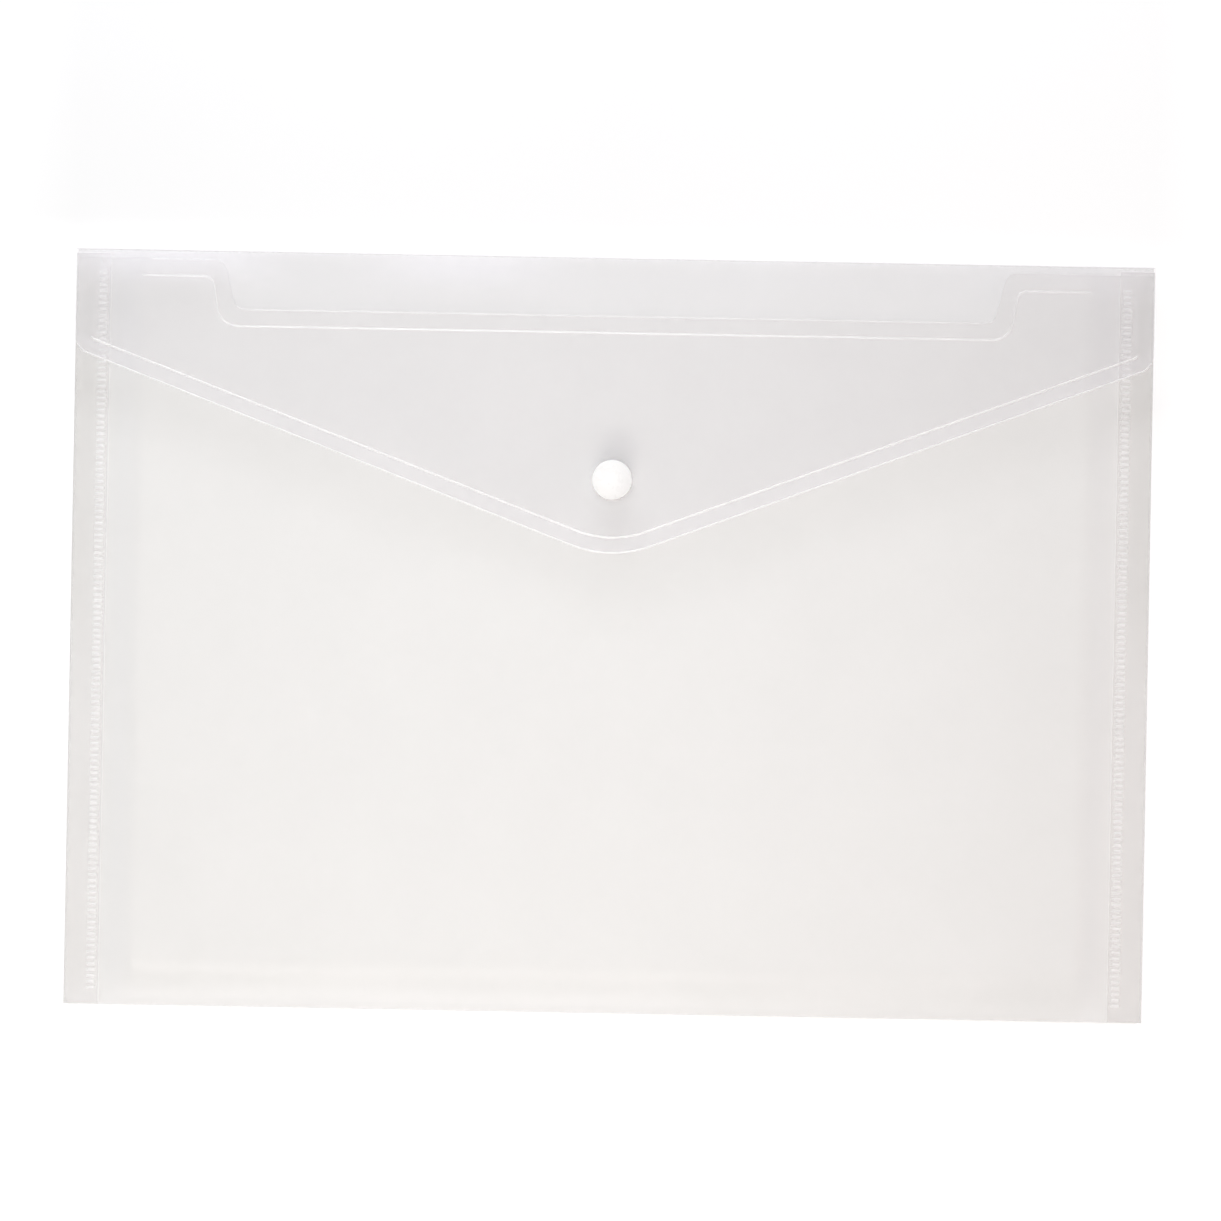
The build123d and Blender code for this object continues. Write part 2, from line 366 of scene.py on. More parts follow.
def even_path(points, spacing):
    """The same path with points added so that no gap is longer than the spacing."""
    result = [points[0]]
    for start, end in zip(points[:-1], points[1:]):
        count = max(1, math.ceil(np.linalg.norm(end - start) / spacing))
        for step in range(1, count + 1):
            result.append(start + (end - start) * step / count)
    return np.array(result)


def shell_between(upper, lower, kept=None, cell_numbers=None):
    """A closed shell between two grids of points; cells that aren't kept leave a hole."""
    rows, columns = upper.shape[:2]
    if kept is None:
        kept = np.ones((rows - 1, columns - 1), bool)
    if cell_numbers is None:
        cell_numbers = np.zeros((rows - 1, columns - 1), int)
    count = rows * columns
    edges = {}
    faces = []
    numbers = []
    for row, column in zip(*np.nonzero(kept)):
        first = int(row) * columns + int(column)
        ring = (first, first + 1, first + columns + 1, first + columns)
        faces.append(ring)
        faces.append(tuple(count + index for index in reversed(ring)))
        numbers += [int(cell_numbers[row, column])] * 2
        for start, end in zip(ring, ring[1:] + ring[:1]):
            if (end, start) in edges:
                del edges[(end, start)]
            else:
                edges[(start, end)] = True
    for start, end in edges:
        faces.append((end, start, count + start, count + end))
        numbers.append(0)
    return np.vstack([upper.reshape(-1, 3), lower.reshape(-1, 3)]), faces, numbers


def sheet_shell(centre, gauge, kept=None):
    """A closed sheet of even gauge around a grid of points in its middle."""
    along = np.gradient(centre, axis=0)
    across = np.gradient(centre, axis=1)
    normal = np.cross(across, along)
    normal /= np.linalg.norm(normal, axis=2, keepdims=True)
    return shell_between(centre + normal * gauge / 2, centre - normal * gauge / 2, kept)


def bead_shell(path, normals, width, rise, sink):
    """A closed low bead that follows a path on a sheet, with a rounded top."""
    ahead = np.gradient(path, axis=0)
    side = np.cross(ahead, normals)
    side /= np.linalg.norm(side, axis=1, keepdims=True)
    section = [(-0.5, -sink), (0.5, -sink)] + [(part, share * rise) for part, share in BEAD_TOP]
    corners = len(section)
    rings = [path + side * part * width[:, None] + normals * height for part, height in section]
    points = np.stack(rings, axis=1).reshape(-1, 3)
    total = len(path)
    faces = []
    for index in range(total - 1):
        following = index + 1
        for corner in range(corners):
            neighbour = (corner + 1) % corners
            faces.append((index * corners + corner, index * corners + neighbour,
                          following * corners + neighbour, following * corners + corner))
    faces.append(tuple(reversed(range(corners))))
    faces.append(tuple((total - 1) * corners + corner for corner in range(corners)))
    return points, faces, [1] * len(faces)


def sheet_lines(outline, height, width, rise, sink, shift, steepest=0.4):
    """Beads along a line on a sheet, moved sideways by a share of their width.

    The line narrows where it runs steeply up or down the sheet, and ends at the steepest."""
    plan = even_path(outline, LINE_STEP)
    ahead = np.gradient(plan, axis=0)
    ahead /= np.linalg.norm(ahead, axis=1, keepdims=True)
    plan = plan + np.stack([-ahead[:, 1], ahead[:, 0]], axis=1) * shift * width
    path = np.column_stack([plan, height(plan[:, 0], plan[:, 1])])
    level = np.abs(ahead[:, 0])
    shown = level > steepest
    widening = smooth_step((level - steepest) / NARROWING)
    breadth = width * (NARROWEST + (1 - NARROWEST) * widening)
    shells = []
    for run in np.split(np.arange(len(path)), np.nonzero(np.diff(shown))[0] + 1):
        if shown[run[0]] and len(run) > 2:
            up = np.tile([0.0, 0.0, 1.0], (len(run), 1))
            shells.append(bead_shell(path[run], up, breadth[run], rise, sink))
    return shells


def wallet_piece(name, shells, materials):
    """One object from closed shells, each given as points, faces and their material numbers."""
    points = []
    faces = []
    numbers = []
    offset = 0
    for shell_points, shell_faces, shell_numbers in shells:
        used = sorted({index for face in shell_faces for index in face})
        place = {index: offset + position for position, index in enumerate(used)}
        points.append(shell_points[used])
        faces.extend(tuple(place[index] for index in face) for face in shell_faces)
        numbers.extend(shell_numbers)
        offset += len(used)
    mesh = bpy.data.meshes.new(name)
    mesh.from_pydata(np.vstack(points).tolist(), [], faces)
    for material in materials:
        mesh.materials.append(material)
    mesh.polygons.foreach_set("material_index", numbers)
    mesh.polygons.foreach_set("use_smooth", [True] * len(faces))
    mesh.set_sharp_from_angle(angle=SHARP_ANGLE)
    mesh.update()
    piece = bpy.data.objects.new(name, mesh)
    piece.visible_shadow = False
    bpy.context.scene.collection.objects.link(piece)
    return piece


def mark_painted_light(mesh, share):
    """Marks on the mesh how much painted light lightens its sheet at each point."""
    place = np.zeros(3 * len(mesh.vertices))
    mesh.vertices.foreach_get("co", place)
    mark = mesh.attributes.new("haze", "FLOAT", "POINT")
    mark.data.foreach_set("value", share(place[0::3], place[1::3]))


# Finishes

def fill_inputs(links, sockets, values):
    """Gives each socket its number, or what another node puts out."""
    for socket, value in zip(sockets, values):
        if isinstance(value, bpy.types.NodeSocket):
            links.new(value, socket)
        else:
            socket.default_value = value


def math_node(nodes, links, operation, *values):
    """What one operation makes of its values."""
    node = nodes.new("ShaderNodeMath")
    node.operation = operation
    fill_inputs(links, node.inputs, values)
    return node.outputs["Value"]


def range_node(nodes, links, value, low, high, new_low, new_high):
    """A value moved from one range to another and held inside it."""
    node = nodes.new("ShaderNodeMapRange")
    fill_inputs(links, node.inputs, (value, low, high, new_low, new_high))
    return node.outputs["Result"]


def mottled_colour(nodes, links, shader, place, colour, spread, scale):
    """Slow mottling of the colour, so that no face is one flat colour."""
    noise = nodes.new("ShaderNodeTexNoise")
    noise.inputs["Scale"].default_value = scale
    noise.inputs["Detail"].default_value = 3.0
    ramp = nodes.new("ShaderNodeValToRGB")
    for element, position, change in zip(ramp.color_ramp.elements, (0.3, 0.7), (-spread, spread)):
        element.position = position
        element.color = [min(1.0, max(0.0, part + change)) for part in colour[:3]] + [1.0]
    links.new(place.outputs["Object"], noise.inputs["Vector"])
    links.new(noise.outputs["Fac"], ramp.inputs["Fac"])
    links.new(ramp.outputs["Color"], shader.inputs["Base Color"])


def grained_face(nodes, links, shader, place, roughness, scale, depth):
    """Fine grain of a frosted face: it varies the roughness and the shading normal."""
    variation = 0.06
    noise = nodes.new("ShaderNodeTexNoise")
    noise.inputs["Scale"].default_value = scale
    noise.inputs["Detail"].default_value = 2.0
    varied = range_node(nodes, links, noise.outputs["Fac"], 0.0, 1.0,
                        roughness - variation, roughness + variation)
    bump = nodes.new("ShaderNodeBump")
    bump.inputs["Strength"].default_value = 0.25
    bump.inputs["Distance"].default_value = depth
    links.new(place.outputs["Object"], noise.inputs["Vector"])
    links.new(varied, shader.inputs["Roughness"])
    links.new(noise.outputs["Fac"], bump.inputs["Height"])
    links.new(bump.outputs["Normal"], shader.inputs["Normal"])


def plastic_finish(name, colour, cover, ior, mottle, grain, sheen=PLAIN_SHEEN):
    """A plastic that hides what lies behind it by its cover.

    Its mottle is the spread and scale of its colour, and its grain the roughness, scale and depth
    of its face."""
    known = bpy.data.materials.get(name)
    if known:
        return known
    material = bpy.data.materials.new(name)
    material.use_nodes = True
    nodes = material.node_tree.nodes
    links = material.node_tree.links
    shader = nodes["Principled BSDF"]
    place = nodes.new("ShaderNodeTexCoord")
    mottled_colour(nodes, links, shader, place, colour, *mottle)
    grained_face(nodes, links, shader, place, *grain)
    shader.inputs["IOR"].default_value = ior
    shader.inputs["Specular IOR Level"].default_value = sheen
    shader.inputs["Alpha"].default_value = cover
    return material


def sheet_finish(name, colour, cover, painted_light_colour, painted_light_cover=0.0):
    """Frosted see-through sheet; where light is painted on it, it is lighter and may hide more."""
    known = bpy.data.materials.get(name)
    if known:
        return known
    roughness = bpy.context.scene.wallet_finish.sheet_roughness
    material = plastic_finish(name, colour, cover, SHEET_IOR, mottle=(0.012, 35.0),
                              grain=(roughness, 1800.0, 0.02 * mm), sheen=0.8)
    nodes = material.node_tree.nodes
    links = material.node_tree.links
    shader = nodes["Principled BSDF"]
    mark = paint_light(nodes, links, shader, painted_light_colour)
    # Where light is painted on the sheet it also hides more
    if painted_light_cover:
        hidden = math_node(nodes, links, "MULTIPLY_ADD", mark.outputs["Fac"], painted_light_cover, cover)
        links.new(hidden, shader.inputs["Alpha"])
    return material


def paint_light(nodes, links, shader, colour):
    """Lets the painted light that is marked on the mesh lighten the sheet's colour."""
    plain = shader.inputs["Base Color"].links[0].from_socket
    mark = nodes.new("ShaderNodeAttribute")
    mark.attribute_name = "haze"
    mix = nodes.new("ShaderNodeMix")
    mix.data_type = "RGBA"
    mix.inputs["B"].default_value = colour
    links.new(mark.outputs["Fac"], mix.inputs["Factor"])
    links.new(plain, mix.inputs["A"])
    links.new(mix.outputs["Result"], shader.inputs["Base Color"])
    return mark


def shaded_inner_finish():
    """Sheet of the back panel, in the inner colour, which is darker as painted shade."""
    finish = bpy.context.scene.wallet_finish
    return sheet_finish("frosted_inner_face", finish.shaded_inner_colour, finish.back_cover, finish.painted_light_colour)


def shaded_double_finish():
    """Two sheets of a side margin, pressed flat on each other, in the inner colour, which is darker as
    painted shade.
    """
    finish = bpy.context.scene.wallet_finish
    return sheet_finish("frosted_double_face", finish.shaded_inner_colour, finish.double_cover,
                        finish.painted_light_colour)


def front_finish():
    """Sheet of the front panel."""
    finish = bpy.context.scene.wallet_finish
    return sheet_finish("frosted_front_face", finish.front_colour, finish.sheet_cover,
                        finish.front_painted_light_colour)


def flap_finish():
    """Sheet of the flap and the spine."""
    finish = bpy.context.scene.wallet_finish
    return sheet_finish("frosted_flap_face", finish.flap_colour, finish.sheet_cover,
                        finish.painted_light_colour, finish.painted_light_cover)


def edge_and_highlight_finish():
    """Sheet whitened where it was cut, creased or embossed; its white is partly a painted highlight of the
    beads.
    """
    finish = bpy.context.scene.wallet_finish
    return plastic_finish("whitened_edge", finish.whitening_and_highlight_colour, finish.edge_cover, SHEET_IOR,
                          mottle=(0.02, 90.0), grain=(0.22, 2500.0, 0.005 * mm), sheen=1.0)


def rung_finish():
    """Sheet melted white by the welding bar."""
    finish = bpy.context.scene.wallet_finish
    return plastic_finish("weld_rung_face", finish.whitening_and_highlight_colour, finish.rung_cover, SHEET_IOR,
                          mottle=(0.02, 300.0), grain=(0.4, 2500.0, 0.02 * mm))


def stud_finish():
    """White moulded plastic of the press stud."""
    finish = bpy.context.scene.wallet_finish
    return plastic_finish("stud_moulding", finish.stud_colour, 1.0, STUD_IOR,
                          mottle=(0.008, 120.0), grain=(finish.stud_roughness, 400.0, 0.002 * mm))


# Heights of the loose sheets

def slow_waves(x, y, seed):
    """Slow, shallow waves of a loose sheet, between about minus one and one."""
    draw = np.random.default_rng(seed)
    total = np.zeros(np.broadcast(x, y).shape)
    for _ in range(WAVE_COUNT):
        turn = draw.uniform(0, math.pi)
        length = draw.uniform(SHORTEST_WAVE, LONGEST_WAVE)
        phase = draw.uniform(0, 2 * math.pi)
        total += np.sin((x * math.cos(turn) + y * math.sin(turn)) * 2 * math.pi / length + phase)
    return total / WAVE_PEAK


def front_height(x, y):
    """Middle of the front sheet above the table."""
    sizes = bpy.context.scene.wallet_sizes
    seat = front_low.z + GAUGE / 2
    crest = knob_low.z - GAUGE / 2
    weld_gap = 0.2 * mm
    foot = WELD_IN - weld_gap
    side = smooth_step((foot - np.abs(x)) / sizes.side_rise)
    bottom = smooth_step((y - front_low.y) / sizes.bottom_rise)
    from_stud = np.hypot(x, y - STUD_Y)
    loose = smooth_step((from_stud - FRONT_HELD) / FRONT_EASE)
    waves = sizes.wave_height * loose * (slow_waves(x, y, FRONT_SEED) - FRONT_SINK)
    return seat + side * bottom * (crest - seat + waves)


def fold_sway(x):
    """Share of the dip towards the crease at each place along it."""
    sway = np.full(np.shape(x), LEAST_DIP)
    for middle, reach in FOLD_DIPS:
        sway = sway + (1 - LEAST_DIP) * np.exp(-np.power((x / mm - middle) / reach, 4))
    return sway


def flap_height(x, y):
    """Middle of the flap above the table."""
    sizes = bpy.context.scene.wallet_sizes
    level = flap_low.z + GAUGE / 2
    from_crease = np.clip((spine_high.y - GAUGE / 2 - y) / sizes.fold_reach, 0, 1)
    dip = sizes.fold_dip * fold_sway(x) * (1 - from_crease) ** 2
    from_stud = np.hypot(x, y - STUD_Y)
    loose = smooth_step((from_stud - FLAP_HELD) / FLAP_EASE)
    lift = sizes.wave_height * loose * (1.0 + FLAP_SWING * slow_waves(x, y, FLAP_SEED))
    return level + lift * smooth_step(from_crease) - dip


def fold_highlight(x, y):
    """How strong the painted highlight along the top fold is on the sheets beside it, at some places more
    than at others.
    """
    from_crease = (spine_high.y - y) / bpy.context.scene.wallet_sizes.fold_reach
    total = np.zeros(len(x))
    for middle, reach, share in FOLD_HIGHLIGHTS:
        total += share * np.exp(-np.power(np.abs(x / mm - middle) / reach, 3))
    risen = smooth_step((from_crease - RISE_START) / RISE_LENGTH)
    faded = smooth_step((from_crease - FADE_START) / FADE_LENGTH)
    return total * risen * (1 - faded)


def flap_corners(inset):
    """Corners of the flap's outline, or of a line that runs inside it."""
    sizes = bpy.context.scene.wallet_sizes
    half = FLAP_HALF - inset
    side_y = spine_high.y - sizes.flap_side
    point_y = side_y - flap_high.x * math.tan(sizes.flap_slope)
    point_y += inset / math.cos(sizes.flap_slope)
    low_y = point_y + half * math.tan(sizes.flap_slope)
    return half, low_y, point_y


# Operators

class WALLET_OT_back_sheet(Operator):
    """Back panel with the lower crease and the foot of the spine"""

    bl_idname = "wallet.back_sheet"
    bl_label = "Back Sheet"

    def execute(self, context):
        gauge = context.scene.wallet_sizes.gauge
        half = FLAP_HALF
        seam = 0.06 * mm
        inner = flange_low.x - seam
        top = flange_high.y + seam
        bend = LOWER_BEND
        rows = 48
        crease_y = spine_high.y - gauge / 2
        level = back_low.z + gauge / 2
        right = np.concatenate([np.linspace(0, inner, 40)[:-1], np.linspace(inner, half, 4)])
        x = np.concatenate([-right[:0:-1], right])
        turn = np.linspace(0, math.pi / 2, 6)
        y = np.concatenate([np.linspace(back_low.y, top, rows),
                            crease_y - bend + bend * np.sin(turn), [crease_y]])
        z = np.concatenate([np.full(rows, level), level + bend - bend * np.cos(turn), [level + 2 * bend]])
        grid = np.zeros((len(y), len(x), 3))
        grid[:, :, 0] = x[None, :]
        grid[:, :, 1] = y[:, None]
        grid[:, :, 2] = z[:, None]
        centres = (grid[:-1, :-1] + grid[1:, 1:]) / 2
        kept = (np.abs(centres[:, :, 0]) < inner) | (centres[:, :, 1] > top)
        piece = wallet_piece("back_sheet", [sheet_shell(grid, gauge, kept)], [shaded_inner_finish()])
        mark_painted_light(piece.data, self.haze)
        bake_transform(piece)
        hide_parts("back_panel")
        return {"FINISHED"}

    def haze(self, x, y):
        """A weak painted highlight along the top fold."""
        strength = 0.2
        return strength * fold_highlight(x, y)


class WALLET_OT_flanges(Operator):
    """Double sheet of each side margin, where the flange is folded in flat over the back"""

    bl_idname = "wallet.flanges"
    bl_label = "Side Flanges"

    def execute(self, context):
        sizes = context.scene.wallet_sizes
        middle = back_low.z + sizes.gauge
        slack = 0.005 * mm
        reach = sizes.gauge - slack
        fold_end = math.radians(12)
        turn = np.linspace(math.pi / 2, fold_end, 7)
        flat = flange_low.x + np.array([0, 0.4, 2.7, 5.0, 7.3, 9.6]) * mm
        across = np.concatenate([flat, back_high.x + reach * np.cos(turn)])
        height = np.concatenate([np.full(len(flat), reach), reach * np.sin(turn)])
        y = np.linspace(back_low.y, flange_high.y, 60)
        for name, hand in (("left_flange", -1), ("right_flange", 1)):
            upper = np.zeros((len(across), len(y), 3))
            upper[:, :, 0] = hand * across[:, None]
            upper[:, :, 1] = y[None, ::-hand]
            upper[:, :, 2] = middle + height[:, None]
            lower = upper.copy()
            lower[:, :, 2] = middle - height[:, None]
            piece = wallet_piece(name + "_strip", [shell_between(upper, lower)], [shaded_double_finish()])
            mark_painted_light(piece.data, self.haze)
            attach(piece, "pocket")
            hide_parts(name)
        return {"FINISHED"}

    def haze(self, x, y):
        """Painted light and shade: the strip is lighter towards its weld and, as a painted highlight,
        towards the top fold; its outer band stays darker, as painted shade, except low down at its outer
        fold.
        """
        plain = 0.12
        at_fold = 0.25
        outer = smooth_step((np.abs(x) - WELD_IN) / (6 * mm))
        lower = 1 - smooth_step((y + 20 * mm) / (40 * mm))
        return plain * (1 - outer + outer * lower) + at_fold * fold_highlight(x, y)


class WALLET_OT_front_sheet(Operator):
    """Front panel with the bottom fold, the thumb notch and its embossed line"""

    bl_idname = "wallet.front_sheet"
    bl_label = "Front Sheet"

    def execute(self, context):
        sizes = context.scene.wallet_sizes
        gauge = sizes.gauge
        half = front_high.x
        top = front_high.y
        floor = top - sizes.notch_depth
        lean = sizes.notch_lean / 2
        side = sizes.notch_width / 2
        upper_round = 3.5 * mm
        lower_round = 4 * mm
        outline = rounded_path(
            [(-half, top), (-side - lean, top), (-side + lean, floor),
             (side - lean, floor), (side + lean, top), (half, top)],
            [upper_round, lower_round, lower_round, upper_round], steps=10)
        outline = even_path(outline, OUTLINE_STEP)
        corner = 2 * mm
        rim = half - corner + corner * np.sin(np.linspace(0, math.pi / 2, 6))
        crest_spare = 1 * mm
        slope = np.linspace(WELD_IN - sizes.side_rise - crest_spare, WELD_IN, 18)
        slope = np.append(slope, WELD_OUT)
        x = np.concatenate([outline[:, 0], rim, -rim, slope, -slope, STUD_COLUMNS])
        x = np.unique(np.round(x, 6))
        least_gap = 0.12 * mm
        x = x[np.concatenate([[True], np.diff(x) > least_gap])]
        x[-1] = half
        edge_y = np.interp(x, outline[:, 0], outline[:, 1])
        foot = np.clip(np.abs(x) - half + corner, 0, corner)
        start = front_low.y + corner - np.sqrt(corner ** 2 - foot ** 2)
        fold = (fold_high.z - fold_low.z) / 2 - gauge / 2
        middle = (fold_high.z + fold_low.z) / 2
        rows = []
        for angle in np.linspace(-math.pi / 2, math.pi / 2, 10)[:-1]:
            rows.append(np.stack([x, start - fold * math.cos(angle),
                                  np.full(len(x), middle + fold * math.sin(angle))], axis=1))
        weld_ends = (np.array([weld_low.y, weld_high.y]) - front_low.y) / (top - front_low.y)
        shares = np.concatenate([np.linspace(0, 0.1, 16)[:-1], np.linspace(0.1, 1, 64), weld_ends])
        for share in np.sort(shares):
            y = start + (edge_y - start) * share
            rows.append(np.stack([x, y, front_height(x, y)], axis=1))
        grid = np.array(rows)
        centres = (grid[:-1, :-1] + grid[1:, 1:]) / 2
        from_stud = np.abs(centres[:, :, :2] - np.array([0, STUD_Y])).max(axis=2)
        across = np.abs(centres[:, :, 0])
        along = centres[:, :, 1]
        welded = (across > WELD_IN) & (across < WELD_OUT) & (along > weld_low.y) & (along < weld_high.y)
        shells = [sheet_shell(grid, gauge, (from_stud > STUD_HOLE) & ~welded)]
        inset = 5.5 * mm
        reach = 147 * mm
        lip = outline[(outline[:, 0] > -reach) & (outline[:, 0] < side)]
        shells += sheet_lines(lip, front_height, sizes.edge_width, RIM_RISE, RIM_RISE, shift=-0.5)
        upper_bend = side + 5.5 * mm
        lower_bend = side + 3 * mm
        tight = 3 * mm
        wide = 6.5 * mm
        line = rounded_path(
            [(-reach, top - inset), (-upper_bend, top - inset), (-lower_bend, floor - inset),
             (lower_bend, floor - inset), (upper_bend, top - inset), (reach, top - inset)],
            [tight, wide, wide, tight], steps=12)
        crest = gauge / 2 + sizes.line_rise
        sink = gauge / 2 - LINE_SPARE
        shells += sheet_lines(line, front_height, sizes.line_width, crest, sink, shift=0, steepest=0.12)
        piece = wallet_piece("front_sheet", shells, [front_finish(), edge_and_highlight_finish()])
        mark_painted_light(piece.data, self.haze)
        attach(piece, "pocket")
        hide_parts("front_panel", "bottom_fold")
        return {"FINISHED"}

    def haze(self, x, y):
        """Painted light: a painted highlight along its bottom fold, more so on the left, and painted light
        beside its welds, where its slopes are shaded.
        """
        on_left = 0.5
        less_on_right = 0.4
        beside_weld = 0.8
        strength = on_left - less_on_right * smooth_step((x + 10 * mm) / (60 * mm))
        fold = strength * (1 - smooth_step((y - front_low.y - 1 * mm) / (9 * mm)))
        beside = beside_weld * np.exp(-np.square((np.abs(x) - WELD_IN + 6 * mm) / (4 * mm)))
        return np.maximum(fold, beside)


class WALLET_OT_welds(Operator):
    """Side welds, each a strip pressed into a ladder of small rungs"""

    bl_idname = "wallet.welds"
    bl_label = "Side Welds"

    def execute(self, context):
        sizes = context.scene.wallet_sizes
        middle = (WELD_IN + WELD_OUT) / 2
        reach = (WELD_OUT - WELD_IN) / 2
        base = front_low.z + GAUGE
        half = sizes.rung_width / 2
        places = np.linspace(weld_low.y + half, weld_high.y - half, sizes.rung_count)
        rows_per_rung = 8
        y = np.linspace(weld_low.y, weld_high.y, rows_per_rung * sizes.rung_count + 1)
        across = np.array([-1, -0.9, -0.78, -0.6, 0, 0.6, 0.78, 0.9, 1]) * reach
        from_rung = np.abs(y[:, None] - places[None, :]).min(axis=1)
        flat_top = 0.35
        flat_length = 0.6
        end_slope = 0.3
        bulge = 1 - smooth_step((from_rung / half - flat_top) / (1 - flat_top))
        ends = 1 - smooth_step((np.abs(across) / reach - flat_length) / end_slope)
        relief = bulge[:, None] * ends[None, :]
        centre_relief = (relief[:-1, :-1] + relief[1:, 1:] + relief[1:, :-1] + relief[:-1, 1:]) / 4
        whitened_above = 0.35
        for name, hand in (("left_weld", -1), ("right_weld", 1)):
            upper = np.zeros((len(y), len(across), 3))
            upper[:, :, 0] = hand * middle + across[None, :]
            upper[:, :, 1] = y[:, None]
            upper[:, :, 2] = base + (weld_high.z - base) * relief
            lower = upper.copy()
            lower[:, :, 2] = weld_low.z
            shell = shell_between(upper, lower, None, centre_relief > whitened_above)
            piece = wallet_piece(name + "_ladder", [shell], [front_finish(), rung_finish()])
            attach(piece, "pocket")
            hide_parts(name)
        return {"FINISHED"}


class WALLET_OT_flap_sheet(Operator):
    """Flap with its embossed border, the upper crease and the spine"""

    bl_idname = "wallet.flap_sheet"
    bl_label = "Flap Sheet"

    def execute(self, context):
        sizes = context.scene.wallet_sizes
        gauge = sizes.gauge
        half, low_y, point_y = flap_corners(0)
        crease_y = spine_high.y - gauge / 2
        rounds = [6 * mm, 35 * mm, 6 * mm]
        outline = rounded_path(
            [(-half, crease_y), (-half, low_y), (0, point_y), (half, low_y), (half, crease_y)],
            rounds, steps=14)
        lower = even_path(outline[1:-1], OUTLINE_STEP)
        border = 5 * mm
        inner, inner_low, inner_point = flap_corners(border)
        end_y = spine_high.y - 10 * mm
        upright = inner + np.array([-0.5, 0, 0.5]) * sizes.line_width
        plain = lower[np.abs(np.abs(lower[:, 0]) - inner) > sizes.line_width, 0]
        x = np.unique(np.round(np.concatenate([plain, STUD_COLUMNS, upright, -upright]), 6))
        least_gap = 0.1 * mm
        x = x[np.concatenate([[True], np.diff(x) > least_gap])]
        x[-1] = half
        edge_y = np.interp(x, lower[:, 0], lower[:, 1])
        bend = UPPER_BEND
        root_y = crease_y - bend
        root_z = flap_height(x, np.full(len(x), crease_y))
        shares = np.concatenate([np.linspace(0, 0.8, 44)[:-1], np.linspace(0.8, 1, 20)])
        rows = []
        for share in shares:
            y = edge_y + (root_y - edge_y) * share
            raised = (np.abs(np.abs(x) - inner) < 1e-6) & (y > inner_low) & (y < end_y)
            rows.append(np.stack([x, y, flap_height(x, y) + raised * sizes.line_rise], axis=1))
        for angle in np.linspace(0, math.pi / 2, 8)[1:]:
            y = np.full(len(x), root_y + bend * math.sin(angle))
            z = root_z - bend + bend * math.cos(angle)
            lift = flap_height(x, np.full(len(x), root_y)) - root_z
            rows.append(np.stack([x, y, z + lift * (1 - math.sin(angle))], axis=1))
        foot = back_low.z + gauge / 2 + 2 * LOWER_BEND
        for share in np.linspace(0, 1, 8)[1:]:
            z = (root_z - bend) * (1 - share) + foot * share
            rows.append(np.stack([x, np.full(len(x), crease_y), z], axis=1))
        grid = np.array(rows)
        centres = (grid[:-1, :-1] + grid[1:, 1:]) / 2
        from_stud = np.abs(centres[:, :, :2] - np.array([0, STUD_Y])).max(axis=2)
        shells = [sheet_shell(grid, gauge, from_stud > STUD_HOLE)]
        rim = rounded_path(
            [(-half, root_y), (-half, low_y), (0, point_y), (half, low_y), (half, root_y)],
            rounds, steps=14)
        shells += sheet_lines(rim, flap_height, sizes.edge_width, RIM_RISE, RIM_RISE, shift=0.5)
        tight = 1.5 * mm
        wide = 30 * mm
        line = rounded_path(
            [(-inner, end_y), (-inner, inner_low), (0, inner_point), (inner, inner_low), (inner, end_y)],
            [tight, wide, tight], steps=14)
        crest = gauge / 2 + sizes.line_rise
        sink = gauge / 2 - LINE_SPARE
        shells += sheet_lines(line, flap_height, sizes.line_width, crest, sink, shift=0)
        piece = wallet_piece("flap_sheet", shells, [flap_finish(), edge_and_highlight_finish()])
        piece.visible_shadow = True
        mark_painted_light(piece.data, self.haze)
        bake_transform(piece)
        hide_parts("flap", "spine")
        return {"FINISHED"}

    def haze(self, x, y):
        """Painted highlight along its fold, in places, and lighter inside its border line."""
        sizes = bpy.context.scene.wallet_sizes
        point_y = flap_corners(0)[2]
        from_edge = (y - point_y - np.abs(x) * math.tan(sizes.flap_slope)) * math.cos(sizes.flap_slope)
        strength = 0.3
        border = strength * (1 - smooth_step((from_edge - 4.6 * mm) / (0.8 * mm)))
        return np.maximum(fold_highlight(x, y), border)


class WALLET_OT_stud(Operator):
    """White finish on the four pieces of the press stud"""

    bl_idname = "wallet.stud"
    bl_label = "Press Stud"

    def execute(self, context):
        for name in ("stud_cap", "stud_socket", "stud_knob", "stud_back_cap"):
            node = frame["nodes"][name]
            node.data.materials.clear()
            node.data.materials.append(stud_finish())
            node.visible_shadow = name == "stud_cap"
        return {"FINISHED"}


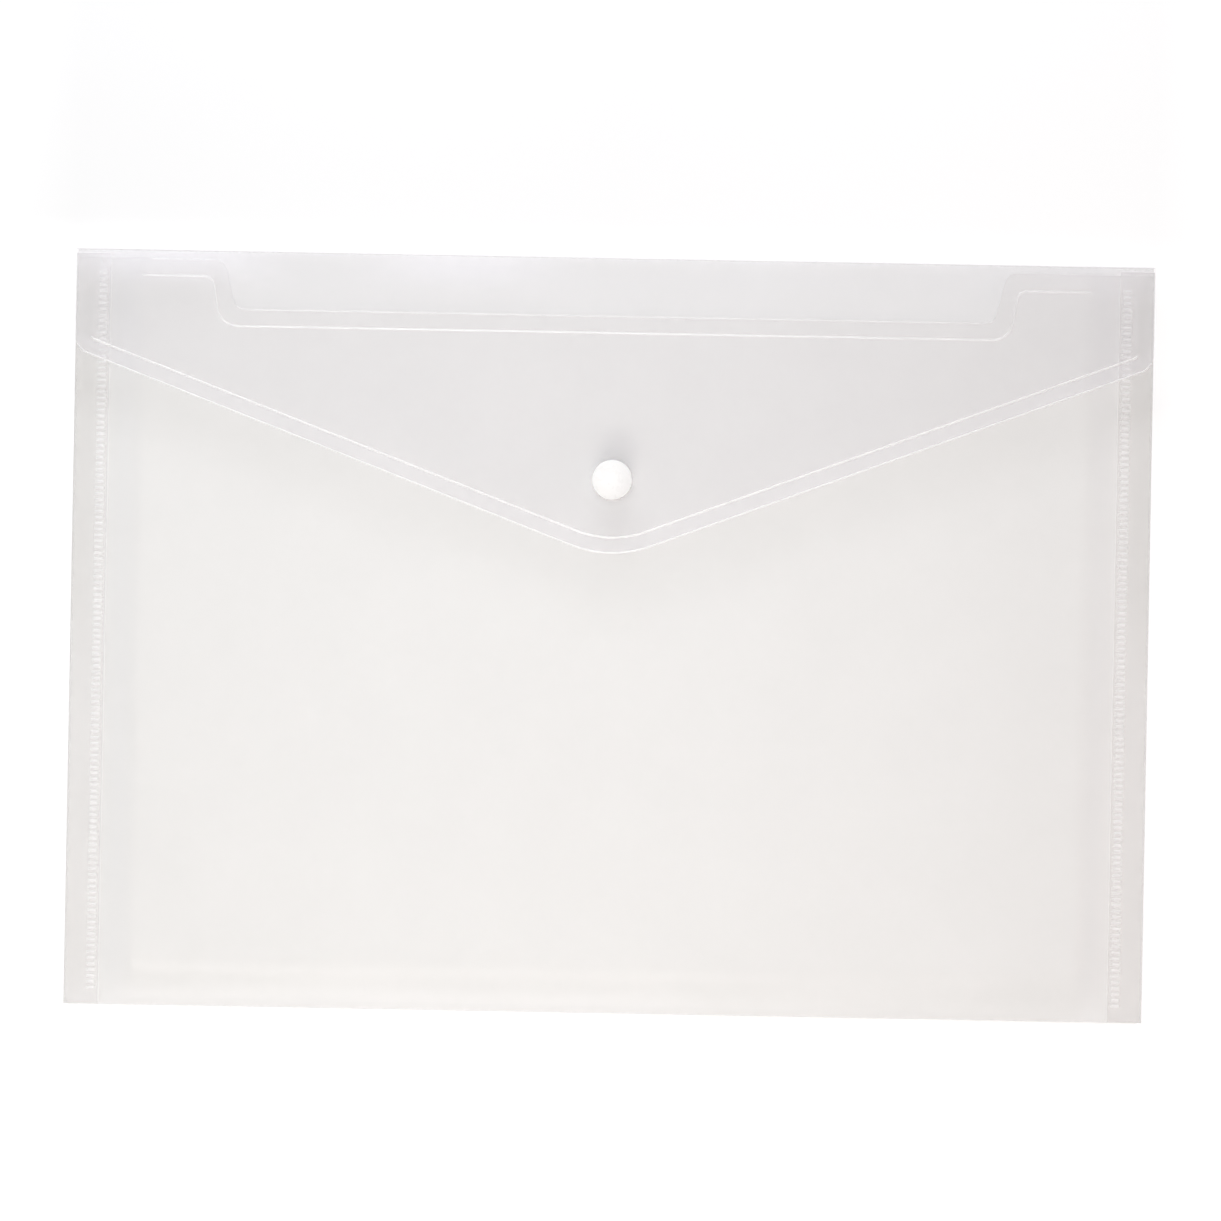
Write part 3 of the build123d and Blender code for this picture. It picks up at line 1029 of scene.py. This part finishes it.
class WALLET_OT_stage(Operator):
    """Floor, lamps, even surrounding light and the camera"""

    bl_idname = "wallet.stage"
    bl_label = "Stage"

    def execute(self, context):
        scene = context.scene
        scene.view_settings.view_transform = "Standard"
        self.floor()
        self.surround(scene)
        stage = scene.wallet_stage
        for name, (place, size, tint, shading) in LAMPS.items():
            power = getattr(stage, name + "_power")
            self.lamp(name + "_lamp", place, size, power, tint, shading)
        self.camera(scene)
        return {"FINISHED"}

    def floor(self):
        """A wide sheet of pale paper, which looks white and keeps the wallet's shadow."""
        corners = [(-FLOOR_REACH, -FLOOR_REACH, FLOOR_LEVEL), (FLOOR_REACH, -FLOOR_REACH, FLOOR_LEVEL),
                   (FLOOR_REACH, FLOOR_REACH, FLOOR_LEVEL), (-FLOOR_REACH, FLOOR_REACH, FLOOR_LEVEL)]
        mesh = bpy.data.meshes.new("studio_floor")
        mesh.from_pydata(corners, [], [(0, 1, 2, 3)])
        floor = bpy.data.objects.new("studio_floor", mesh)
        bpy.context.scene.collection.objects.link(floor)
        material = bpy.data.materials.new("floor_paper")
        material.use_nodes = True
        nodes = material.node_tree.nodes
        links = material.node_tree.links
        shader = nodes["Principled BSDF"]
        shader.inputs["Base Color"].default_value = (FLOOR_GREY, FLOOR_GREY, FLOOR_GREY, 1)
        shader.inputs["Roughness"].default_value = 0.9
        shader.inputs["Specular IOR Level"].default_value = 0.0
        shader.inputs["Emission Color"].default_value = (1, 1, 1, 1)
        seen = self.seen_directly(nodes, links)
        glow = math_node(nodes, links, "MULTIPLY", seen, self.clear_floor(nodes, links))
        links.new(glow, shader.inputs["Emission Strength"])
        mesh.materials.append(material)

    def clear_floor(self, nodes, links):
        """How strongly the floor glows: less near the top fold, where a lamp is near, and more far off."""
        place = nodes.new("ShaderNodeTexCoord")
        parts = nodes.new("ShaderNodeSeparateXYZ")
        links.new(place.outputs["Object"], parts.inputs["Vector"])
        x = parts.outputs["X"]
        y = parts.outputs["Y"]
        beyond = range_node(nodes, links, x, 0.0, cad_high.x, GLOW_TOP_MIDDLE, GLOW_TOP_RIGHT)
        near = range_node(nodes, links, y, cad_high.y, cad_high.y + GLOW_EASE, GLOW_UNDER, beyond)
        past = []
        for along, edge in ((x, cad_high.x), (y, cad_high.y + FLAP_ROOM)):
            distance = math_node(nodes, links, "ABSOLUTE", along)
            past.append(math_node(nodes, links, "SUBTRACT", distance, edge))
        outside = math_node(nodes, links, "MAXIMUM", *past)
        far = range_node(nodes, links, outside, 0.0, FAR_REACH, 0.0, GLOW_FAR)
        return math_node(nodes, links, "ADD", near, far)

    def seen_directly(self, nodes, links):
        """One for rays from the camera, from gloss and through glass, and nothing for the rest."""
        path = nodes.new("ShaderNodeLightPath")
        seen = path.outputs["Is Camera Ray"]
        for name in ("Is Glossy Ray", "Is Transmission Ray"):
            seen = math_node(nodes, links, "MAXIMUM", seen, path.outputs[name])
        return seen

    def surround(self, scene):
        """Even dim light from all around, which the camera sees as white."""
        world = bpy.data.worlds.new("studio_surround")
        world.use_nodes = True
        nodes = world.node_tree.nodes
        links = world.node_tree.links
        background = nodes["Background"]
        background.inputs["Color"].default_value = (1, 1, 1, 1)
        seen = self.seen_directly(nodes, links)
        strength = range_node(nodes, links, seen, 0.0, 1.0, scene.wallet_stage.ambient, 1.0)
        links.new(strength, background.inputs["Strength"])
        scene.world = world

    def lamp(self, name, place, size, power, tint, shading):
        """A lamp whose light only the stud's cap and the named pieces block."""
        light = bpy.data.lights.new(name, "AREA")
        light.shape = "RECTANGLE"
        light.size, light.size_y = size
        light.energy = power
        light.color = tint
        lamp = bpy.data.objects.new(name, light)
        lamp.location = place
        x, y, z = place
        lamp.rotation_euler = (math.atan2(math.hypot(x, y), z), 0, math.atan2(-x, y) + math.pi)
        bpy.context.scene.collection.objects.link(lamp)
        blockers = bpy.data.collections.new(name + "_blockers")
        blockers.objects.link(frame["nodes"]["stud_cap"])
        for piece in shading:
            blockers.objects.link(bpy.data.objects[piece])
        lamp.light_linking.blocker_collection = blockers

    def camera(self, scene):
        """A distant camera that looks straight down, a little turned."""
        stage = scene.wallet_stage
        view = bpy.data.cameras.new("top_camera")
        view.sensor_width = SENSOR_WIDTH
        view.lens = stage.lens
        view.clip_end = FARTHEST_SEEN
        camera = bpy.data.objects.new("top_camera", view)
        camera.location = (AIM_X, AIM_Y, stage.frame_width * stage.lens / SENSOR_WIDTH)
        camera.rotation_euler = (0, 0, stage.roll)
        scene.collection.objects.link(camera)
        scene.camera = camera


OPERATORS = (
    WALLET_OT_back_sheet, WALLET_OT_flanges, WALLET_OT_front_sheet, WALLET_OT_welds,
    WALLET_OT_flap_sheet, WALLET_OT_stud, WALLET_OT_stage,
)


class WALLET_PT_panel(Panel):
    """Sidebar list of the wallet's pieces"""

    bl_idname = "WALLET_PT_panel"
    bl_label = "Document Wallet"
    bl_space_type = "VIEW_3D"
    bl_region_type = "UI"
    bl_category = "Wallet"

    def draw(self, context):
        for operator in OPERATORS:
            self.layout.operator(operator.bl_idname)
        for group in (context.scene.wallet_sizes, context.scene.wallet_finish, context.scene.wallet_stage):
            box = self.layout.box()
            for name in group.bl_rna.properties.keys():
                if name not in ("rna_type", "name"):
                    box.prop(group, name)


CLASSES = (WalletSizes, WalletFinish, WalletStage) + OPERATORS + (WALLET_PT_panel,)


def register():
    for each in CLASSES:
        bpy.utils.register_class(each)
    bpy.types.Scene.wallet_sizes = PointerProperty(type=WalletSizes)
    bpy.types.Scene.wallet_finish = PointerProperty(type=WalletFinish)
    bpy.types.Scene.wallet_stage = PointerProperty(type=WalletStage)


def unregister():
    del bpy.types.Scene.wallet_stage
    del bpy.types.Scene.wallet_finish
    del bpy.types.Scene.wallet_sizes
    for each in reversed(CLASSES):
        bpy.utils.unregister_class(each)


def main():
    register()
    bpy.ops.wallet.back_sheet()
    bpy.ops.wallet.flanges()
    bpy.ops.wallet.front_sheet()
    bpy.ops.wallet.welds()
    bpy.ops.wallet.flap_sheet()
    bpy.ops.wallet.stud()
    bpy.ops.wallet.stage()


if __name__ == "__main__":
    main()
